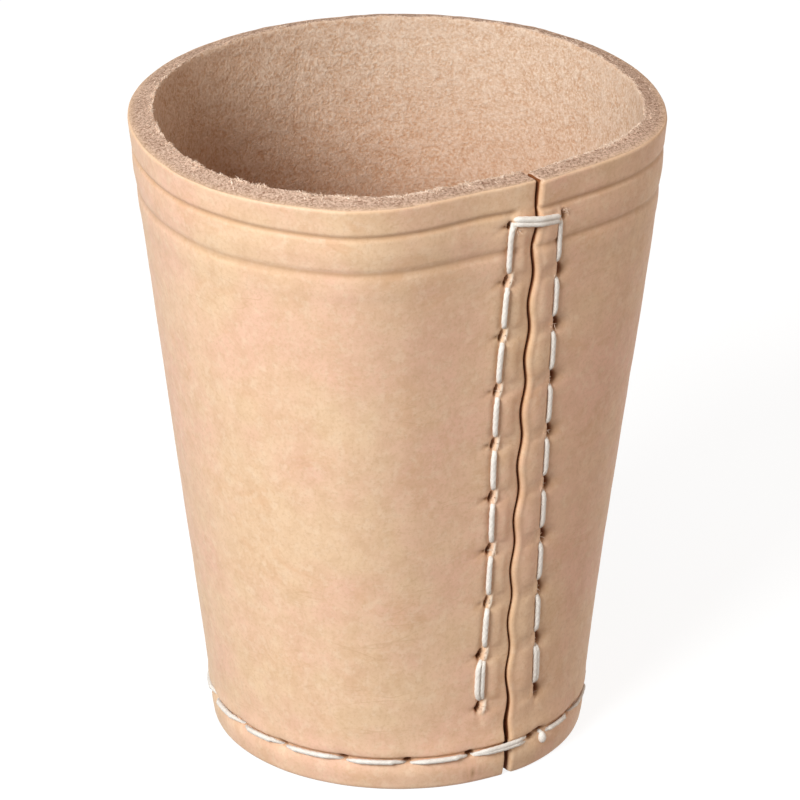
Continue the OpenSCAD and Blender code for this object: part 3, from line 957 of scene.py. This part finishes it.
class Nodes:
    """Short calls for building one node material. Its colour starts plain, and each
    tint and cover goes over it; each bump goes on top of the bumps before it."""

    def __init__(self, name, colour):
        self.material = bpy.data.materials.new(name)
        self.material.use_nodes = True
        self.tree = self.material.node_tree
        self.shader = self.tree.nodes["Principled BSDF"]
        self.coords = self.tree.nodes.new("ShaderNodeTexCoord").outputs["Object"]
        self.colour, self.normal = colour, None

    def feed(self, socket, value):
        """Links another node's output to a socket, or sets the socket's value."""
        if isinstance(value, bpy.types.NodeSocket):
            self.tree.links.new(value, socket)
        else:
            socket.default_value = value

    def node(self, kind, inputs=None, **settings):
        node = self.tree.nodes.new("ShaderNode" + kind)
        for key, value in settings.items():
            setattr(node, key, value)
        for key, value in (inputs or {}).items():
            self.feed(node.inputs[key], value)
        return node

    def scaled(self, x=1.0, y=1.0, z=1.0, turn=(0, 0, 0)):
        """Object coordinates in millimetres, stretched along the axes."""
        return self.node("Mapping", {"Vector": self.coords, "Rotation": turn,
                                     "Scale": (x / MM, y / MM, z / MM)}).outputs[0]

    def noise(self, size, detail=2.0, rough=0.5, vector=None, warp=0.0):
        """Noise from 0 to 1 with lumps of a size in millimetres."""
        return self.node("TexNoise", {"Vector": vector or self.scaled(), "Scale": 1 / size,
                                      "Detail": detail, "Roughness": rough,
                                      "Distortion": warp}).outputs["Fac"]

    def attribute(self, name):
        return self.node("Attribute", attribute_name=name).outputs["Fac"]

    def ramp(self, value, low, high, start=0.0, end=1.0):
        """Maps a value from one range to another and clamps it."""
        return self.node("MapRange", {"Value": value, "From Min": low, "From Max": high,
                                      "To Min": start, "To Max": end}).outputs[0]

    def math(self, operation, a, b=0.0):
        return self.node("Math", {0: a, 1: b}, operation=operation).outputs[0]

    def mix(self, factor, a, b):
        node = self.node("Mix", data_type="RGBA")
        for key, value in ((0, factor), (6, a), (7, b)):
            self.feed(node.inputs[key], value)
        return node.outputs[2]

    def tint(self, other, value, low, high, share=1.0):
        """Goes over to another colour, up to a share, as a value goes from low to high."""
        self.colour = self.mix(self.ramp(value, low, high, 0, share), self.colour, other)

    def cover(self, other, mask, share):
        """Puts a share of another colour where a mask is 1."""
        self.colour = self.mix(self.math("MULTIPLY", mask, share), self.colour, other)

    def lines(self, value, level, width):
        """1 on the thin lines where a value crosses a level."""
        away = self.math("ABSOLUTE", self.math("SUBTRACT", value, level))
        return self.ramp(away, 0, width, 1, 0)

    def bump(self, height, strength, distance):
        inputs = {"Height": height, "Strength": strength, "Distance": distance * MM}
        if self.normal is not None:
            inputs["Normal"] = self.normal
        self.normal = self.node("Bump", inputs).outputs[0]

    def finish(self, roughness, **fixed):
        for key, value in (("Base Color", self.colour), ("Roughness", roughness),
                           ("Normal", self.normal)):
            self.feed(self.shader.inputs[key], value)
        for key, value in fixed.items():
            self.shader.inputs[key.replace("_", " ")].default_value = value
        return self.material


def rgb(r, g, b):
    return (r, g, b, 1.0)


TAN = rgb(0.83, 0.545, 0.35)
TAN_PINK = rgb(0.855, 0.515, 0.36)
TAN_YELLOW = rgb(0.845, 0.57, 0.36)
TAN_RUBBED = rgb(0.74, 0.42, 0.23)
TAN_WORN = rgb(0.63, 0.365, 0.195)
TAN_PALE = rgb(0.90, 0.66, 0.465)
# Painted shade in the slits and deep in the seam's gap
HOLE_SHADE_BROWN = rgb(0.21, 0.065, 0.019)
# A painted highlight on the seam's lips
LIP_HIGHLIGHT = rgb(0.93, 0.80, 0.66)
# Painted shade in the creases and round the slits, and the rubbed right edge of the seam
SHADE_AND_RUB_BROWN = rgb(0.50, 0.27, 0.13)
FLESH_TAN = rgb(0.70, 0.505, 0.37)
FLESH_PALE = rgb(0.81, 0.65, 0.525)
FLESH_DARK = rgb(0.52, 0.295, 0.175)
# Painted shade deep inside the cup
FLESH_DEEP_SHADE = rgb(0.47, 0.185, 0.08)
FIBRE_PALE = rgb(0.87, 0.68, 0.54)
CUT_PALE = rgb(0.81, 0.56, 0.42)
CUT_DARK = rgb(0.30, 0.145, 0.085)
THREAD_PALE = rgb(0.85, 0.785, 0.72)
THREAD_SHADE = rgb(0.62, 0.53, 0.45)


def grain_leather():
    """Smooth vegetable-tanned grain: pores, faint veins, patches, and painted shade
    in the pressed creases and round the slits.
    """
    n = Nodes("grain_leather", TAN_PINK)
    n.tint(TAN_YELLOW, n.noise(17, 3, 0.6), 0.4, 0.6)
    rubs = n.noise(6.5, 4, 0.7, n.scaled(0.7, 0.7, 1, (0.4, 0.2, 0)), 0.8)
    n.tint(TAN_RUBBED, rubs, 0.53, 0.7, 0.6)
    n.tint(TAN, n.noise(9, 2, 0.5, n.scaled(1, 1, 0.55)), 0.42, 0.72, 0.5)
    n.tint(TAN_WORN, n.noise(3.2, 4, 0.65), 0.4, 0.7, 0.4)
    n.tint(TAN_PALE, n.noise(1.5, 3, 0.6), 0.5, 0.68, 0.42)
    grain = n.noise(0.55, 3, 0.65)
    n.tint(TAN_WORN, grain, 0.48, 0.7, 0.36)
    pores = n.node("TexVoronoi", {"Vector": n.scaled(), "Scale": 1 / 1.1,
                                  "Randomness": 1.0}).outputs["Distance"]
    pore = n.ramp(pores, 0.0, 0.16, 1, 0)
    n.cover(TAN_WORN, pore, 0.26)
    vein = n.noise(5.5, 2, 0.5, n.scaled(1, 1, 0.4, (0.5, 0.3, 0)), 1.2)
    vein_line = n.lines(vein, 0.5, 0.012)
    n.cover(TAN_WORN, vein_line, 0.14)
    drag = n.noise(4.5, 2, 0.5, n.scaled(0.16, 0.16, 1, (0.06, 0.04, 0)), 0.3)
    scratch = n.math("MULTIPLY", n.lines(drag, 0.53, 0.006), n.ramp(n.noise(13, 2), 0.5, 0.62))
    n.cover(TAN_WORN, scratch, 0.4)
    # Painted shade in the pressed creases, and the rubbed right edge of the seam
    n.cover(SHADE_AND_RUB_BROWN, n.attribute("crease"), 0.62)
    # Painted shade round the slits, along the fold over the foot's thread and deep on the seam's
    # end faces, with the foot's stain; below 0, a painted highlight on the seam's lips
    slit_light_and_stain = n.attribute("slit")
    n.tint(SHADE_AND_RUB_BROWN, slit_light_and_stain, 0.05, 0.6, 0.75)
    n.tint(HOLE_SHADE_BROWN, slit_light_and_stain, 0.45, 0.95)
    n.tint(LIP_HIGHLIGHT, slit_light_and_stain, -0.1, -0.7, 0.8)
    rough = n.ramp(n.noise(1.4, 3, 0.6), 0.3, 0.7, 0.44, 0.6)
    rough = n.math("MAXIMUM", rough, n.ramp(slit_light_and_stain, 0.2, 0.8))
    n.bump(grain, 0.22, 0.09)
    n.bump(pore, -0.25, 0.05)
    n.bump(vein_line, -0.2, 0.05)
    n.bump(scratch, -0.3, 0.06)
    return n.finish(rough, Specular_IOR_Level=0.36)


def flesh_leather():
    """The raw flesh side: short matted nap, darker where it lies down, and painted
    shade, a deeper red brown, towards the cup's floor."""
    n = Nodes("flesh_leather", FLESH_DARK)
    nap = n.noise(0.44, 3, 0.62)
    tufts = n.noise(1.5, 3, 0.6)
    n.tint(FLESH_TAN, nap, 0.36, 0.62)
    n.tint(FLESH_PALE, nap, 0.56, 0.74, 0.65)
    n.tint(FLESH_PALE, tufts, 0.42, 0.7, 0.45)
    n.tint(FLESH_TAN, n.noise(15, 3, 0.55), 0.35, 0.65, 0.25)
    height = n.node("SeparateXYZ", {"Vector": n.scaled()}).outputs["Z"]
    # Painted shade: darker and redder lower down inside the cup
    n.tint(FLESH_DEEP_SHADE, height, 94, 50, 0.75)
    n.bump(nap, 0.8, 0.2)
    n.bump(tufts, 0.45, 0.45)
    return n.finish(1.0, Specular_IOR_Level=0.1)


def cut_leather():
    """A knife-cut edge: packed fibres in pale and dark specks."""
    n = Nodes("cut_leather", CUT_DARK)
    fibre = n.noise(0.42, 4, 0.8)
    clump = n.noise(1.3, 3, 0.6)
    n.tint(CUT_PALE, fibre, 0.38, 0.58)
    n.tint(CUT_PALE, clump, 0.4, 0.7, 0.3)
    rawness = n.ramp(n.attribute("cut"), 0, 1)
    n.colour = n.mix(rawness, TAN, n.colour)
    n.bump(n.math("MULTIPLY", fibre, rawness), 0.8, 0.28)
    n.bump(n.math("MULTIPLY", clump, rawness), 0.4, 0.3)
    return n.finish(0.95, Specular_IOR_Level=0.15)


def fuzz_fibre():
    """Loose pale fibres that stand out of the cut rim and the slits."""
    n = Nodes("fuzz_fibre", FLESH_TAN)
    n.tint(FIBRE_PALE, n.noise(1.0, 2), 0.3, 0.6)
    n.bump(n.noise(0.2, 1), 0.1, 0.02)
    return n.finish(0.9, Specular_IOR_Level=0.2)


def waxed_thread():
    """Twisted off-white thread under a thin coat of wax."""
    n = Nodes("waxed_thread", THREAD_PALE)
    fibres = n.noise(0.16, 3, 0.7, n.scaled(1, 1, 0.35))
    soil = n.noise(4.0, 3, 0.6)
    n.tint(THREAD_SHADE, fibres, 0.4, 0.7, 0.5)
    n.tint(THREAD_SHADE, soil, 0.5, 0.75, 0.35)
    along, around = n.attribute("along"), n.attribute("around")
    turned = n.math("ADD", around, n.math("DIVIDE", along, PLY_TURN))
    round_thread = n.node("CombineXYZ", {"X": n.math("MULTIPLY", along, 0.35),
                                         "Y": n.math("MULTIPLY", turned, 9.0)}).outputs[0]
    streak = n.noise(1.0, 3, 0.65, round_thread)
    n.tint(THREAD_SHADE, streak, 0.5, 0.72, 0.55)
    n.bump(fibres, 0.3, 0.06)
    n.bump(streak, 0.5, 0.09)
    return n.finish(0.55, Specular_IOR_Level=0.4, Sheen_Weight=0.2)


# --- Stage, light and camera ---

# The photograph's camera: its turn from the seam, rise and roll in degrees, distance
# in metres, lens in millimetres, and how far it aims beside the cup's middle
VIEW_TURN, VIEW_RISE, VIEW_ROLL = -36.0, 24.886, 0.266
VIEW_DISTANCE, VIEW_LENS = 0.817, 239.92
AIM_RIGHT, AIM_UP = 0.00031, 0.00203
MIDDLE = Vector((0, 0, 0.05))


def direction(turn, rise):
    """From the cup to something at a turn from the seam and a rise, in degrees."""
    t, e = math.radians(turn), math.radians(rise)
    return Vector((math.sin(t) * math.cos(e), -math.cos(t) * math.cos(e), math.sin(e)))


def add_camera():
    right, back = direction(VIEW_TURN + 90, 0), direction(VIEW_TURN, VIEW_RISE)
    up = back.cross(right)
    place = MIDDLE + back * VIEW_DISTANCE
    aim = MIDDLE + right * AIM_RIGHT + up * AIM_UP
    back = (place - aim).normalized()
    right = up.cross(back).normalized()
    up = back.cross(right)
    roll = Matrix.Rotation(math.radians(VIEW_ROLL), 4, "Z")
    turn = Matrix((right, up, back)).transposed().to_4x4() @ roll
    data = bpy.data.cameras.new("camera")
    data.sensor_width = 36
    data.lens = VIEW_LENS
    data.clip_start, data.clip_end = 0.01, 20
    camera = put_in_scene("camera", data)
    camera.matrix_world = Matrix.Translation(place) @ turn
    bpy.context.scene.camera = camera


# Name, turn and rise in degrees, distance and size in metres, power and colour
LAMPS = (("key", -72, 33, 1.1, 0.5, 14.4, (0.90, 0.97, 1.0)),
         ("top", -60, 72, 1.2, 0.6, 1.2, (0.95, 0.98, 1.0)),
         ("right", 62, 6, 1.4, 0.8, 6.2, (1.0, 0.88, 0.79)))


def add_light(name, turn, rise, distance, size, power, colour):
    """A round soft lamp that faces the cup's middle."""
    data = bpy.data.lights.new(name, "AREA")
    data.shape = "DISK"
    data.size = size
    data.energy = power
    data.color = colour
    lamp = put_in_scene(name, data)
    away = direction(turn, rise)
    lamp.location = MIDDLE + distance * away
    lamp.rotation_euler = (-away).to_track_quat("-Z", "Y").to_euler()


FLOOR_HALF, FLOOR_DROP = 3000, 0.05
FLOOR_GREY, FLOOR_GLOW = rgb(0.2, 0.2, 0.2), 0.88
FLOOR_CORNERS = ((-1, -1), (1, -1), (1, 1), (-1, 1))


def add_floor():
    """A white floor that takes the cup's shadow but throws no light back on it."""
    n = Nodes("pale_floor", FLOOR_GREY)
    n.shader.inputs["Emission Color"].default_value = rgb(1, 1, 1)
    n.shader.inputs["Emission Strength"].default_value = FLOOR_GLOW
    n.bump(n.noise(30), 0.02, 0.1)
    corners = [(x * FLOOR_HALF, y * FLOOR_HALF, -FLOOR_DROP) for x, y in FLOOR_CORNERS]
    floor = add_mesh("floor", corners, [(0, 1, 2, 3)], [n.finish(0.9)], smooth=False)
    floor.visible_diffuse = False


BACKDROP_WHITE = rgb(0.93, 0.93, 0.93)
BOUNCE_COLOUR = rgb(1.0, 0.885, 0.79)
BOUNCE_STRENGTH = 0.27


def add_world():
    """A white backdrop; the cup is lit by the studio's dim warm bounce."""
    world = bpy.data.worlds.new("studio")
    world.use_nodes = True
    links, nodes = world.node_tree.links, world.node_tree.nodes
    bounce, backdrop = nodes["Background"], nodes.new("ShaderNodeBackground")
    bounce.inputs["Color"].default_value = BOUNCE_COLOUR
    bounce.inputs["Strength"].default_value = BOUNCE_STRENGTH
    backdrop.inputs["Color"].default_value = BACKDROP_WHITE
    seen = nodes.new("ShaderNodeMixShader")
    links.new(nodes.new("ShaderNodeLightPath").outputs["Is Camera Ray"], seen.inputs[0])
    links.new(bounce.outputs[0], seen.inputs[1])
    links.new(backdrop.outputs[0], seen.inputs[2])
    links.new(seen.outputs[0], nodes["World Output"].inputs["Surface"])
    bpy.context.scene.world = world
    bpy.context.scene.view_settings.view_transform = "Standard"


# --- The model ---

def build():
    grain, flesh, cut = grain_leather(), flesh_leather(), cut_leather()
    wall = make_wall([grain, flesh, cut])
    base = make_base([flesh])
    for piece, node, slot in ((wall, "wall", "wall_leather"), (base, "base", "base_leather")):
        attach(piece, "root")
        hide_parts(node)
    fibres = make_fibres(fuzz_fibre())
    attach(fibres, "root")
    for node, piece in make_threads(waxed_thread()).items():
        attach(piece, "root")
        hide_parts(node)


add_camera()
add_world()
add_floor()
for lamp in LAMPS:
    add_light(*lamp)
build()
